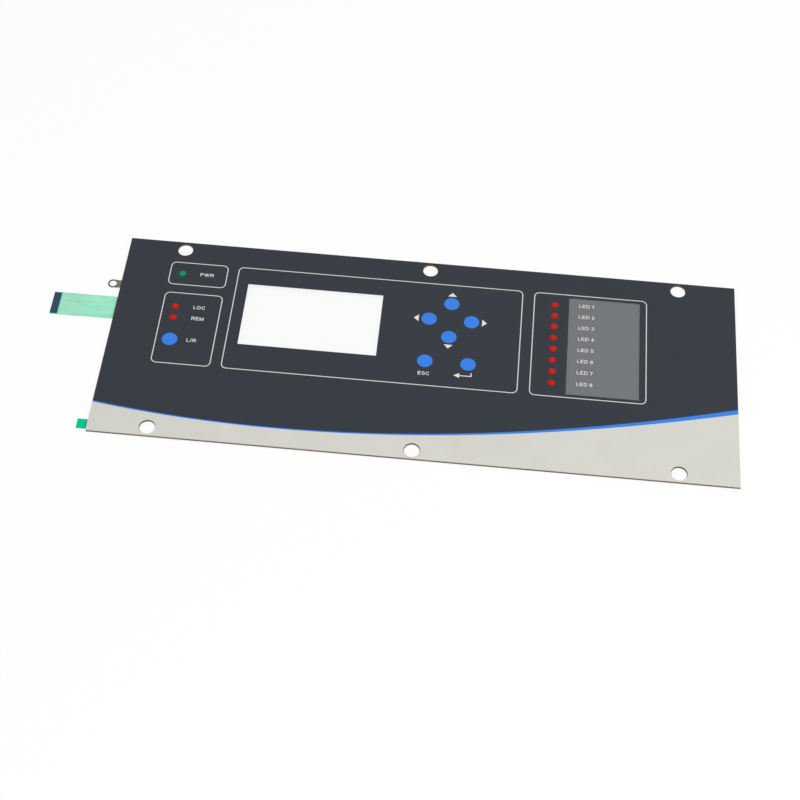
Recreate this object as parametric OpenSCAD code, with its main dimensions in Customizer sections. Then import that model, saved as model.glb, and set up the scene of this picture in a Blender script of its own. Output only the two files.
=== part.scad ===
// Membrane keypad: a laminated front panel foil with seven snap-dome keys, eleven indicator lamps,
// a display window, a label window, a flat tail and an earth lug. Millimetres.
// The panel is centred on the origin, its rear lies on z = 0 and its front faces +Z.

/* [Panel] */
// Width of the panel
panel_w = 364; // [345:1:420]
// Height of the panel
panel_h = 143; // [138:1:180]
// Diameter of the six mounting holes in the spacer, which guides the screws
hole_d = 8.8; // [6:0.1:9.6]
// Set-back of the other layers from the mounting holes
hole_setback = 0.25; // [0:0.05:0.4]
// Centre of a hole to the long edge
hole_edge = 5.8; // [5.6:0.1:8]
// Centre of an outer hole to the short edge
hole_side = 33.7; // [20:0.1:45]

/* [Layers] */
// Thickness of the release liner
liner_t = 0.1; // [0.05:0.01:0.2]
// Thickness of the rear adhesive
rear_adhesive_t = 0.13; // [0.1:0.01:0.3]
// Thickness of the circuit film and its tail
circuit_t = 0.15; // [0.1:0.01:0.25]
// Thickness of the printed conductors
print_t = 0.02; // [0.01:0.01:0.05]
// Thickness of the shield foil
shield_t = 0.06; // [0.03:0.01:0.15]
// Thickness of the adhesive under the overlay
overlay_adhesive_t = 0.2; // [0.1:0.01:0.3]
// Thickness of the clear overlay film under its inks
film_t = 0.2; // [0.1:0.01:0.4]
// Thickness of the ink fields
ink_t = 0.04; // [0.02:0.01:0.08]

/* [Frames] */
// Top edge of the panel to the frames
frame_drop = 16; // [14:0.5:18]
// Left edge of the panel to the first frame
frame_side = 27.5; // [20:0.5:35]
// Height of the tall frames
frame_h = 75.8; // [72:0.1:80]
// Width of the status frames
status_w = 34; // [30:0.5:40]
// Width of the control frame
control_w = 170; // [160:1:180]
// Width of the indicator frame
indicator_w = 66.4; // [62:0.1:72]
// Height of the power frame
power_h = 17; // [12:0.5:20]
// Gap under the power frame
power_gap = 6.5; // [4:0.1:9]
// Gap between the status and control frames
status_gap = 6.6; // [4:0.1:9]
// Gap between the control and indicator frames
indicator_gap = 7.1; // [4:0.1:9]
// Width of a frame line
line_w = 0.55; // [0.4:0.05:1.5]
// Corner radius of a frame, at the middle of its line
frame_r = 3; // [1.5:0.1:6]

/* [Keys] */
// Diameter of a printed key
key_d = 9; // [7:0.1:12]
// Distance between the left and right keys
key_pitch = 25; // [22:0.1:30]
// Right side of the control frame to the middle of the arrow keys
pad_side = 41.5; // [30:0.5:50]
// Top of the frames to the middle of the arrow keys
pad_drop = 26.9; // [24:0.1:30]
// Bottom of the frames to the lower row of keys
row_rise = 17.5; // [12:0.1:20]
// Left side of the status frame to the local key
local_key_side = 8.1; // [7:0.1:14]
// Diameter of a snap dome
dome_d = 8.4; // [6:0.1:10]
// Height of a snap dome
dome_h = 0.5; // [0.3:0.05:0.6]
// Sheet thickness of a snap dome
dome_t = 0.08; // [0.05:0.01:0.15]

/* [Indicators] */
// Diameter of an indicator window
indicator_d = 4.4; // [3:0.1:5]
// Height that an indicator window is embossed by
pillow_h = 0.55; // [0.2:0.05:0.7]
// Distance between indicators
indicator_pitch = 8.26; // [7:0.01:9]
// Left side of the indicator frame to its column
column_side = 12.2; // [8:0.1:14]
// Top of the frames to the first indicator of the column
column_drop = 8.4; // [6:0.1:10]
// Left side of the status frames to their indicators
status_side = 7.5; // [6:0.1:12]
// Top of the local frame to its first indicator
local_drop = 10.3; // [7:0.1:12]
// Length of a chip lamp
led_l = 2; // [1.6:0.1:2.6]
// Width of a chip lamp
led_w = 1.25; // [0.8:0.05:1.6]
// Height of a chip lamp
led_h = 0.55; // [0.4:0.05:0.7]

/* [Windows] */
// Width of the display window
display_w = 80.6; // [70:0.1:90]
// Height of the display window
display_h = 45.2; // [40:0.1:48]
// Left side of the control frame to the display window
display_side = 7; // [5:0.1:10]
// Top of the frames to the display window
display_drop = 12.4; // [11:0.1:14]
// Width of the label window
label_w = 41.8; // [36:0.1:44]
// Right side of the indicator frame to the label window
label_side = 4; // [3:0.1:6]
// Top and bottom of the indicator frame to the label window
label_margin = 2.3; // [1.5:0.1:5]

/* [Stripe] */
// Upper edge of the stripe at the left, its handles and the right, as shares of the height under the frames
stripe_top = [0.402, 0.043, 0.354, 1.033]; // [0:0.001:1.1]
// Lower edge of the stripe at the left, its handles and the right, as shares of the height under the frames
stripe_bottom = [0.385, 0.036, 0.337, 0.973]; // [0:0.001:1.1]

/* [Tail, lug and tab] */
// Length of the tail outside the panel
tail_l = 37.7; // [20:0.1:80]
// Top edge of the panel to the middle of the tail
tail_drop = 53.9; // [50:0.1:58]
// Distance between the conductors of the tail
tail_pitch = 0.8; // [0.7:0.05:1]
// Length of the bare contacts at the end of the tail
contact_l = 4.4; // [3:0.1:8]
// Length of the stiffener under the contacts
stiffener_l = 17.7; // [5:0.1:19]
// Diameter of the hole in the lug
lug_hole_d = 4.3; // [3:0.1:4.6]
// Outer diameter of the ring of the lug
lug_ring_d = 6.1; // [5.8:0.1:9]
// Width of the arm of the lug
lug_arm_w = 5.6; // [3:0.1:5.8]
// Sheet thickness of the lug
lug_t = 0.3; // [0.2:0.05:0.4]
// Left edge of the panel to the middle of the ring
lug_reach = 4.8; // [4:0.1:10]
// Length of the arm inside the panel
lug_depth = 8; // [5:0.1:12]
// Top edge of the panel to the middle of the lug
lug_drop = 36.1; // [30:0.1:38]
// Length of the pull tab outside the panel
tab_reach = 6.1; // [3:0.1:12]
// Width of the pull tab
tab_w = 6.6; // [4:0.1:12]
// Bottom edge of the panel to the pull tab
tab_rise = 1.7; // [0:0.1:20]

/* [Hidden] */
$fn = 64;

// Clearances
headroom = 0.05;
dome_clearance = 0.3;
light_margin = 0.4;
display_margin = 1.5;
insert_margin = 1.5;
insert_clearance = 0.2;
insert_gap = 0.05;
lug_clearance = 0.15;
bench_clearance = 0.08;

// Conductors, pads and the sealing coat of the tail
track_w = 0.4;
lane_pitch = 1;
lane_margin = 2;
column_margin = 4;
ring_w = 1;
ring_margin = 0.25;
ring_gap = 1.6;
centre_pad_d = 2.6;
led_pad_w = 0.9;
finger_share = 0.7;
finger_w = finger_share * tail_pitch;
coat_t = 0.03;

// Chip lamps, vents, and how far the tail and the tab are rooted in their sheets
led_base_t = 0.2;
lens_share = 0.65;
led_lens_l = lens_share * led_l;
vent_w = 1;
root_l = 2;

// Steps along the stripe, and facets of the arcs that domes and windows are turned from
stripe_steps = 28;
dome_fn = 720;

// Levels of the layers, from the rear
spacer_t = max(dome_h, led_h) + headroom;
z_rear = liner_t;
z_circuit = z_rear + rear_adhesive_t;
z_print = z_circuit + circuit_t;
z_spacer = z_print + print_t;
z_shield = z_spacer + spacer_t;
z_adhesive = z_shield + shield_t;
z_film = z_adhesive + overlay_adhesive_t;
z_ink = z_film + film_t;

// Edges of the panel and places of its holes
left = -panel_w / 2;
right = panel_w / 2;
top = panel_h / 2;
bottom = -panel_h / 2;
hole_x = right - hole_side;
hole_y = top - hole_edge;
wide_hole_d = hole_d + 2 * hole_setback;
HOLES = [for (x = [-hole_x, 0, hole_x], y = [-hole_y, hole_y]) [x, y]];

// Frames, as left, bottom, right and top
frame_y1 = top - frame_drop;
frame_y0 = frame_y1 - frame_h;
status_x0 = left + frame_side;
status_x1 = status_x0 + status_w;
power_y0 = frame_y1 - power_h;
local_y1 = power_y0 - power_gap;
control_x0 = status_x1 + status_gap;
control_x1 = control_x0 + control_w;
indicator_x0 = control_x1 + indicator_gap;
indicator_x1 = indicator_x0 + indicator_w;
band_h = frame_y0 - bottom;
FRAMES = [
    [status_x0, power_y0, status_x1, frame_y1],
    [status_x0, frame_y0, status_x1, local_y1],
    [control_x0, frame_y0, control_x1, frame_y1],
    [indicator_x0, frame_y0, indicator_x1, frame_y1]
];

// Windows, as left, bottom, right and top
display_x0 = control_x0 + display_side;
display_y1 = frame_y1 - display_drop;
DISPLAY = [display_x0, display_y1 - display_h, display_x0 + display_w, display_y1];
label_x1 = indicator_x1 - label_side;
LABEL = [label_x1 - label_w, frame_y0 + label_margin, label_x1, frame_y1 - label_margin];

// Keys
pad_x = control_x1 - pad_side;
pad_y = frame_y1 - pad_drop;
row_y = frame_y0 + row_rise;
half_pitch = key_pitch / 2;
up = [pad_x, pad_y + half_pitch];
down = [pad_x, pad_y - half_pitch];
left_key = [pad_x - half_pitch, pad_y];
right_key = [pad_x + half_pitch, pad_y];
escape = [pad_x - half_pitch, row_y];
enter = [pad_x + half_pitch, row_y];
local_remote = [status_x0 + local_key_side, row_y];
KEYS = [
    ["up", up], ["down", down], ["left", left_key], ["right", right_key],
    ["escape", escape], ["enter", enter], ["local_remote", local_remote]
];
KEY_PLACES = [for (key = KEYS) key[1]];

// Indicators
column_lamps = 8;
last_lamp = column_lamps - 1;
half_column = column_lamps / 2;
status_x = status_x0 + status_side;
power = [status_x, (power_y0 + frame_y1) / 2];
local = [status_x, local_y1 - local_drop];
remote = [status_x, local[1] - indicator_pitch];
column_x = indicator_x0 + column_side;
COLUMN = [for (i = [0:last_lamp]) [column_x, frame_y1 - column_drop - i * indicator_pitch]];
STATUS = [["power", power], ["local", local], ["remote", remote]];
LEDS = concat(STATUS, [for (i = [0:last_lamp]) [str(i + 1), COLUMN[i]]]);
LED_PLACES = [for (led = LEDS) led[1]];
RED_PLACES = concat([local, remote], COLUMN);

// Ball that the front of an embossed window is part of, with its centre under the front of the film
window_r = indicator_d / 2;
pillow_rise = pillow_h - ink_t / 2;
pillow_r = (window_r * window_r + pillow_rise * pillow_rise) / (2 * pillow_rise);
pillow_drop = pillow_r - pillow_h;

// Tail, from its contact end to the panel
tail_lines = 20;
tail_y = top - tail_drop;
tail_w = tail_lines * tail_pitch + finger_w;
tail_x0 = left - tail_l;
contact_x1 = tail_x0 + contact_l;
line_x0 = contact_x1 + track_w / 2;

lug_y = top - lug_drop;

// A box of left, bottom, right and top, grown by a margin on every side
function grown(box, margin) =
    [box[0] - margin, box[1] - margin, box[2] + margin, box[3] + margin];

// A cubic curve through its first and last height, steered by the two between
function bezier(heights, u) =
    let (v = 1 - u)
    heights[0] * v * v * v + 3 * heights[1] * u * v * v
        + 3 * heights[2] * u * u * v + heights[3] * u * u * u;

// The points of one edge of the stripe, from left to right
function stripe_edge(heights) = [
    for (i = [0:stripe_steps])
        let (u = i / stripe_steps)
        [left + u * panel_w, bottom + band_h * bezier(heights, u)]
];

function reversed(points) = [for (i = [len(points) - 1:-1:0]) points[i]];

// One layer of the laminate, from a flat outline
module layer(z, thickness) {
    translate([0, 0, z]) linear_extrude(thickness) children();
}

module box_outline(box) {
    translate([box[0], box[1]]) square([box[2] - box[0], box[3] - box[1]]);
}

module discs(places, d) {
    for (place = places) translate(place) circle(d = d);
}

module rounded_box(box, r) {
    box_outline([box[0] + r, box[1], box[2] - r, box[3]]);
    box_outline([box[0], box[1] + r, box[2], box[3] - r]);
    for (x = [box[0] + r, box[2] - r], y = [box[1] + r, box[3] - r]) translate([x, y]) circle(r);
}

// The panel with its punched holes
module sheet(punch_d = wide_hole_d) {
    difference() {
        square([panel_w, panel_h], center = true);
        discs(HOLES, punch_d);
    }
}

// The same, cut out behind the display window
module open_sheet(punch_d = wide_hole_d) {
    difference() {
        sheet(punch_d);
        box_outline(grown(DISPLAY, display_margin));
    }
}

// The same, with a light path over each lamp
module lit_sheet(punch_d = wide_hole_d) {
    difference() {
        open_sheet(punch_d);
        discs(LED_PLACES, indicator_d + 2 * light_margin);
    }
}

// A straight channel between two points
module channel(from, to, width) {
    run = to - from;
    translate(from) rotate(atan2(run[1], run[0])) {
        translate([-width / 2, -width / 2]) square([norm(run) + width, width]);
    }
}

module windows() {
    box_outline(DISPLAY);
    box_outline(LABEL);
}

module frame_lines() {
    for (frame = FRAMES) difference() {
        rounded_box(grown(frame, line_w / 2), frame_r + line_w / 2);
        rounded_box(grown(frame, -line_w / 2), frame_r - line_w / 2);
    }
}

// All that is printed over, or left out of, the three background fields
module front_marks() {
    discs(HOLES, wide_hole_d);
    windows();
    frame_lines();
    discs(KEY_PLACES, key_d);
    discs(LED_PLACES, indicator_d);
}

// A background field, less the marks on it
module field(points) {
    layer(z_ink, ink_t) difference() {
        polygon(points);
        front_marks();
    }
}

// The film keeps its thickness where it is embossed
module overlay_film() {
    color([0.8, 0.82, 0.84]) difference() {
        union() {
            layer(z_film, film_t) sheet();
            layer(z_ink, ink_t) windows();
            for (place = LED_PLACES) turned_window(place) intersection() {
                translate([0, -pillow_drop]) circle(pillow_r, $fn = dome_fn);
                square([window_r, pillow_h]);
            }
        }
        for (place = LED_PLACES) turned_window(place) intersection() {
            translate([0, -pillow_drop]) circle(pillow_r - film_t, $fn = dome_fn);
            translate([0, -2 * film_t]) square([pillow_r, pillow_r]);
        }
    }
}

// A profile turned about the middle of an indicator window, on the front of the film
module turned_window(place) {
    translate([place[0], place[1], z_ink]) rotate_extrude() children();
}

// Ink of an indicator window, on the front of its pillow
module window_ink(place) {
    turned_window(place) intersection() {
        translate([0, -pillow_drop]) difference() {
            circle(pillow_r + ink_t, $fn = dome_fn);
            circle(pillow_r, $fn = dome_fn);
        }
        square([window_r, pillow_r]);
    }
}

module dark_field_print() {
    color([0.24, 0.26, 0.29]) {
        field(concat(stripe_edge(stripe_top), [[right, top], [left, top]]));
    }
}

module grey_band_print() {
    color([0.82, 0.82, 0.79]) {
        field(concat(stripe_edge(stripe_bottom), [[right, bottom], [left, bottom]]));
    }
}

module blue_stripe_print() {
    color([0.24, 0.51, 0.9]) {
        field(concat(stripe_edge(stripe_top), reversed(stripe_edge(stripe_bottom))));
    }
}

module frame_lines_print() {
    color([0.78, 0.77, 0.74]) layer(z_ink, ink_t) frame_lines();
}

module key_discs_print() {
    color([0.24, 0.51, 0.9]) layer(z_ink, ink_t) discs(KEY_PLACES, key_d);
}

module red_indicator_print() {
    color([0.86, 0.18, 0.13]) for (place = RED_PLACES) window_ink(place);
}

module green_indicator_print() {
    color([0.1, 0.53, 0.4]) window_ink(power);
}

// The card lies on the shield foil, in the pocket of the overlay adhesive
module label_insert() {
    color([0.47, 0.48, 0.5]) {
        layer(z_adhesive, overlay_adhesive_t - insert_gap) box_outline(grown(LABEL, insert_margin));
    }
}

module overlay_adhesive() {
    color([0.9, 0.88, 0.8]) layer(z_adhesive, overlay_adhesive_t) difference() {
        lit_sheet();
        box_outline(grown(LABEL, insert_margin + insert_clearance));
    }
}

module shield_foil() {
    color([0.75, 0.76, 0.78]) layer(z_shield, shield_t) lit_sheet();
}

// Ring and arm are one flat stamping, whose arm lies under the shield foil
module ground_lug() {
    centre_x = left - lug_reach;
    color([0.55, 0.48, 0.43]) layer(z_shield - lug_t, lug_t) difference() {
        union() {
            translate([centre_x, lug_y]) circle(d = lug_ring_d);
            box_outline([centre_x, lug_y - lug_arm_w / 2, left + lug_depth, lug_y + lug_arm_w / 2]);
        }
        translate([centre_x, lug_y]) circle(d = lug_hole_d);
    }
}

// Air leaves the pockets of the keys through channels to the opening behind the display
module vents() {
    near_display = [DISPLAY[0], DISPLAY[1]];
    far_display = [DISPLAY[2], DISPLAY[1]];
    channel(up, left_key, vent_w);
    channel(left_key, down, vent_w);
    channel(down, right_key, vent_w);
    channel(down, escape, vent_w);
    channel(escape, enter, vent_w);
    channel(far_display, escape, vent_w);
    channel(local_remote, near_display, vent_w);
}

module dome_spacer() {
    color([0.93, 0.93, 0.9]) layer(z_spacer, spacer_t) difference() {
        lit_sheet(hole_d);
        discs(KEY_PLACES, dome_d + 2 * dome_clearance);
        vents();
        box_outline(grown(
            [left, lug_y - lug_arm_w / 2, left + lug_depth, lug_y + lug_arm_w / 2],
            lug_clearance
        ));
    }
}

// A spherical cap of sheet steel, standing on its rim
module snap_dome(place) {
    rim_r = dome_d / 2;
    sphere_r = (rim_r * rim_r + dome_h * dome_h) / (2 * dome_h);
    color([0.8, 0.8, 0.82]) translate([place[0], place[1], z_spacer]) rotate_extrude() intersection() {
        translate([0, dome_h - sphere_r]) difference() {
            circle(sphere_r, $fn = dome_fn);
            circle(sphere_r - dome_t, $fn = dome_fn);
        }
        square([rim_r, dome_h]);
    }
}

// A chip lamp: base and narrower lens
module chip_lamp(place) {
    color([0.95, 0.95, 0.92]) translate([place[0], place[1], z_spacer]) {
        translate([-led_l / 2, -led_w / 2, 0]) cube([led_l, led_w, led_base_t]);
        translate([-led_lens_l / 2, -led_w / 2, 0]) cube([led_lens_l, led_w, led_h]);
    }
}

// Middle of a conductor on the tail, counted from the top
function line_y(i) = tail_y + ((tail_lines - 1) / 2 - i) * tail_pitch;

// Where a conductor turns up or down inside the panel, outermost first
function column(i) = left + column_margin + i * tail_pitch;

// Lanes above the display, under the holes, and lanes below the keys
function upper_lane(i) = hole_y - wide_hole_d / 2 - lane_margin - i * lane_pitch;
function lower_lane(i) = row_y - dome_d / 2 - lane_margin - i * lane_pitch;

// From the tail along a column and a lane to the last points of a conductor
function upper_route(i, ends) =
    concat(
        [[line_x0, line_y(i)], [column(i), line_y(i)], [column(i), upper_lane(i)]],
        [[ends[0][0], upper_lane(i)]],
        ends
    );
function lower_route(i, ends) =
    let (turn = column(tail_lines - 1 - i), lane = lower_lane(i - first_lower))
    concat(
        [[line_x0, line_y(i)], [turn, line_y(i)], [turn, lane]],
        [[ends[0][0], lane]],
        ends
    );

// Conductors on the tail, from the top: the common of the column, four of its lamps, three keys, the three
// status lamps, earth, the local key, three keys and the other four lamps
first_key = 5;
power_line = 8;
local_line = 9;
remote_line = 10;
first_lower = 11;
common_x = column_x + indicator_d;

// Middle of the ring under a dome
ring_r = dome_d / 2 + ring_margin - ring_w / 2;

function lamp_pad(place, side) = place + [side * led_l / 2, 0];

// Places of a lamp's conductor at the left of the column, the nearest lamp closest to it
function lamp_ends(place, step) =
    let (x = column_x - indicator_d - step * lane_pitch)
    [[x, place[1]], lamp_pad(place, -1)];

module track(points) {
    for (i = [0:len(points) - 2]) channel(points[i], points[i + 1], track_w);
}

// From one dome's ring to the next
module ring_link(from, to) {
    toward = (to - from) / norm(to - from);
    track([from + ring_r * toward, to - ring_r * toward]);
}

// Split ring and centre pad under a dome, open towards its conductor
module key_contact(place, side) {
    translate(place) {
        difference() {
            circle(ring_r + ring_w / 2);
            circle(ring_r - ring_w / 2);
            translate([-ring_gap / 2, side > 0 ? 0 : -dome_d]) square([ring_gap, dome_d]);
        }
        circle(d = centre_pad_d);
    }
}

module lamp_pads(place) {
    for (side = [-1, 1]) translate(lamp_pad(place, side)) square([led_pad_w, led_w], center = true);
}

module key_lines() {
    track(upper_route(first_key, [right_key]));
    track(upper_route(first_key + 1, [up]));
    track(upper_route(first_key + 2, [left_key]));
    track(lower_route(first_lower + 1, [local_remote]));
    track(lower_route(first_lower + 2, [escape]));
    track(lower_route(first_lower + 3, [down]));
    track(lower_route(first_lower + 4, [enter]));
}

module lamp_lines() {
    for (i = [0:last_lamp]) {
        if (i < half_column) track(upper_route(1 + i, lamp_ends(COLUMN[i], i)));
        else track(lower_route(first_lower + 1 + i, lamp_ends(COLUMN[i], last_lamp - i)));
    }
    status_line(power_line, column(power_line), power);
    status_line(local_line, column(local_line), local);
    status_line(remote_line, column(tail_lines - 1 - remote_line), remote);
}

// From the tail to a status lamp, turning at one of the columns
module status_line(i, turn, place) {
    track([[line_x0, line_y(i)], [turn, line_y(i)], [turn, place[1]], lamp_pad(place, -1)]);
}

// The column's common runs round its right side
module column_common() {
    track(upper_route(0, [[common_x, COLUMN[last_lamp][1]]]));
    for (place = COLUMN) track([lamp_pad(place, 1), [common_x, place[1]]]);
}

// Earth runs through the rings of the keys and up a rail beside the status lamps
module earth() {
    rail_x = status_x + indicator_d;
    turn = column(tail_lines - 1 - first_lower);
    y = line_y(first_lower);
    track([[line_x0, y], [turn, y], [turn, row_y], local_remote - [ring_r, 0]]);
    track([local_remote + [ring_r, 0], [rail_x, row_y], [rail_x, power[1]], lamp_pad(power, 1)]);
    for (place = [local, remote]) track([lamp_pad(place, 1), [rail_x, place[1]]]);
    lane_start = [rail_x + lane_margin, row_y];
    lane_end = [escape[0] - dome_d / 2 - lane_margin, row_y];
    track([
        [rail_x, row_y], lane_start, [lane_start[0], lower_lane(0)],
        [lane_end[0], lower_lane(0)], lane_end, escape - [ring_r, 0]
    ]);
    ring_link(escape, down);
    ring_link(down, left_key);
    ring_link(left_key, up);
    ring_link(up, right_key);
    ring_link(right_key, enter);
}

module circuit_tracks() {
    color([0.72, 0.72, 0.7]) layer(z_print, print_t) {
        for (place = [up, left_key, right_key]) key_contact(place, 1);
        for (place = [down, escape, enter, local_remote]) key_contact(place, -1);
        for (place = LED_PLACES) lamp_pads(place);
        key_lines();
        lamp_lines();
        column_common();
        earth();
    }
}

// The tail is one piece with the film that carries the conductors
module circuit_film() {
    color([0.72, 0.9, 0.82]) layer(z_circuit, circuit_t) {
        open_sheet();
        box_outline([tail_x0, tail_y - tail_w / 2, left + root_l, tail_y + tail_w / 2]);
    }
}

// Sealing coat over the conductors of the tail
module tail_dielectric() {
    color([0.62, 0.9, 0.78]) layer(z_spacer, coat_t) {
        box_outline([contact_x1, tail_y - tail_w / 2, left, tail_y + tail_w / 2]);
    }
}

module tail_contacts() {
    color([0.12, 0.16, 0.2]) layer(z_print, print_t) for (i = [0:tail_lines - 1]) {
        box_outline([tail_x0, line_y(i) - finger_w / 2, contact_x1, line_y(i) + finger_w / 2]);
    }
}

module tail_stiffener() {
    color([0.2, 0.45, 0.7]) layer(bench_clearance, z_circuit - bench_clearance) {
        box_outline([tail_x0, tail_y - tail_w / 2, tail_x0 + stiffener_l, tail_y + tail_w / 2]);
    }
}

module rear_adhesive() {
    color([0.9, 0.88, 0.8]) layer(z_rear, rear_adhesive_t) open_sheet();
}

// The liner reaches past the panel in a tab to peel it by
module release_liner() {
    tab_y0 = bottom + tab_rise;
    color([0.1, 0.75, 0.55]) layer(0, liner_t) {
        open_sheet();
        box_outline([left - tab_reach, tab_y0, left + root_l, tab_y0 + tab_w]);
    }
}

overlay_film();
dark_field_print();
grey_band_print();
blue_stripe_print();
frame_lines_print();
key_discs_print();
red_indicator_print();
green_indicator_print();
label_insert();
overlay_adhesive();
shield_foil();
ground_lug();
dome_spacer();
for (key = KEYS) snap_dome(key[1]);
for (led = LEDS) chip_lamp(led[1]);
circuit_tracks();
circuit_film();
tail_dielectric();
tail_contacts();
tail_stiffener();
rear_adhesive();
release_liner();
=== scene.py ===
"""Finishes, legends and stage of a membrane keypad, laid out as an add-on and run as a script."""
import math

import bmesh
import bpy
from bpy.props import FloatProperty, FloatVectorProperty, PointerProperty
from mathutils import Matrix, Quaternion, Vector
from mathutils.geometry import delaunay_2d_cdt


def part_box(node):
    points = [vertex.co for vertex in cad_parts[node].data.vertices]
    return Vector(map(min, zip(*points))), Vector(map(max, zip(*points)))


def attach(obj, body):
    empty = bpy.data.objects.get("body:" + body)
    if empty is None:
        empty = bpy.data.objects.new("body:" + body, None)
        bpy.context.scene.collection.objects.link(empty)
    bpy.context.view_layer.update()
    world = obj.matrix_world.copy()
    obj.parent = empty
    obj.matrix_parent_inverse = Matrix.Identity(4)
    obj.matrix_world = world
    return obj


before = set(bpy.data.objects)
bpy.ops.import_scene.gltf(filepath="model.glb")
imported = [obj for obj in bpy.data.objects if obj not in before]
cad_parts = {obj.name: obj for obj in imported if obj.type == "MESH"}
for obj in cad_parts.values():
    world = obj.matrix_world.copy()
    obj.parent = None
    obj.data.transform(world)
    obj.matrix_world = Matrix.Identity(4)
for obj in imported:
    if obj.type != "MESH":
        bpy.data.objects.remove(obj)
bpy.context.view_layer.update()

bl_info = {
    "name": "Membrane Keypad",
    "version": (1, 0, 0),
    "blender": (4, 5, 0),
    "location": "View3D > Sidebar > Keypad",
    "description": "Gives a membrane keypad its finishes, printed legends and stage",
    "category": "Object",
}

BODY = "root"
MM = 0.001
MICRON = 0.000001

KEYS = ("up", "down", "left", "right", "escape", "enter", "local_remote")
STATUS_LAMPS = ("power", "local", "remote")
STATUS_WORDS = ("PWR", "LOC", "REM")
COLUMN_COUNT = 8
COLUMN_LAMPS = tuple(str(i + 1) for i in range(COLUMN_COUNT))

# The values between which most of a noise lies
NOISE_LOW = 0.3
NOISE_HIGH = 0.7

# How far the normal of a cut edge, and of the face of a sheet, points up or down
EDGE_NORMAL = 0.3
FACE_NORMAL = 0.6


def centre_of(node):
    """Middle of a node of the frame."""
    low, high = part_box(node)
    return (low + high) / 2


def lamp_places(names):
    """Middles of the named chip lamps."""
    return [centre_of("led_" + name) for name in names]


def key_radius():
    """Radius of a printed key, from the highest of the discs."""
    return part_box("key_discs_print")[1].y - centre_of("dome_up").y


def front_level():
    """Height of the printed front."""
    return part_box("dark_field_print")[1].z


def length_property(name, description, default):
    """A length in metres that a user may change."""
    return FloatProperty(name=name, description=description, default=default, unit="LENGTH", precision=6)


def colour_property(name, description, default):
    """A linear colour that a user may change."""
    return FloatVectorProperty(
        name=name, description=description, default=default, subtype="COLOR", size=3, min=0.0, max=1.0
    )


def angle_property(name, description, degrees):
    """An angle that a user may change."""
    return FloatProperty(name=name, description=description, default=math.radians(degrees), subtype="ANGLE")


def share_property(name, description, default):
    """A share from 0 to 1 that a user may change."""
    return FloatProperty(
        name=name, description=description, default=default, subtype="FACTOR", min=0.0, max=1.0
    )


def number_property(name, description, default, unit="NONE"):
    """A plain number that a user may change."""
    return FloatProperty(name=name, description=description, default=default, unit=unit)


def place_property(name, description, default):
    """A place in metres that a user may change."""
    return FloatVectorProperty(
        name=name, description=description, default=default, subtype="TRANSLATION", unit="LENGTH", size=3
    )


class KeypadInks(bpy.types.PropertyGroup):
    """Colours and surface of the printed front."""

    dark: colour_property("Dark field", "Ink of the large field", (0.0205, 0.0255, 0.0355))
    grey: colour_property("Grey band", "Ink of the band under the stripe", (0.64, 0.64, 0.587))
    blue: colour_property("Blue", "Ink of the stripe and the keys", (0.03, 0.208, 0.77))
    white: colour_property("White", "Ink of the frame lines and legends", (0.76, 0.75, 0.70))
    red: colour_property("Red", "Tint of the red indicators", (0.61, 0.009, 0.003))
    green: colour_property("Green", "Tint of the green indicator", (0.001, 0.285, 0.147))
    lamp_shade: share_property("Lamp shade", "How much the lamp shows dark through its tint", 0.25)
    lamp_core: share_property("Lamp core", "Radius of the dark of the lamp over that of its window", 0.2)
    lamp_halo: share_property("Lamp halo", "Radius at which that dark ends, over that of the window", 0.55)
    # Painted shade: how much an indicator window darkens towards its rim, and where that begins
    painted_rim_shade: share_property("Rim shade", "How much an indicator darkens towards its rim", 0.75)
    rim_start: share_property("Rim start", "Radius at which the rim begins, over that of the window", 0.6)
    roughness: share_property("Roughness", "Roughness of the satin front", 0.46)
    shine: share_property("Shine", "Specular level of the satin front", 0.25)
    window_shine: share_property("Window shine", "Specular level of the indicator windows", 0.12)
    line_share: share_property("Line share", "Brightness of the frame lines over that of the legends", 0.92)
    grain: length_property("Grain", "Size of the velvet grain", 0.14 * MM)
    grain_depth: length_property("Grain depth", "Depth of the velvet grain", 3 * MICRON)
    wave: length_property("Wave", "Length of the slow waves of the laminate", 22 * MM)
    wave_depth: length_property("Wave depth", "Depth of the slow waves of the laminate", 25 * MICRON)


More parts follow.
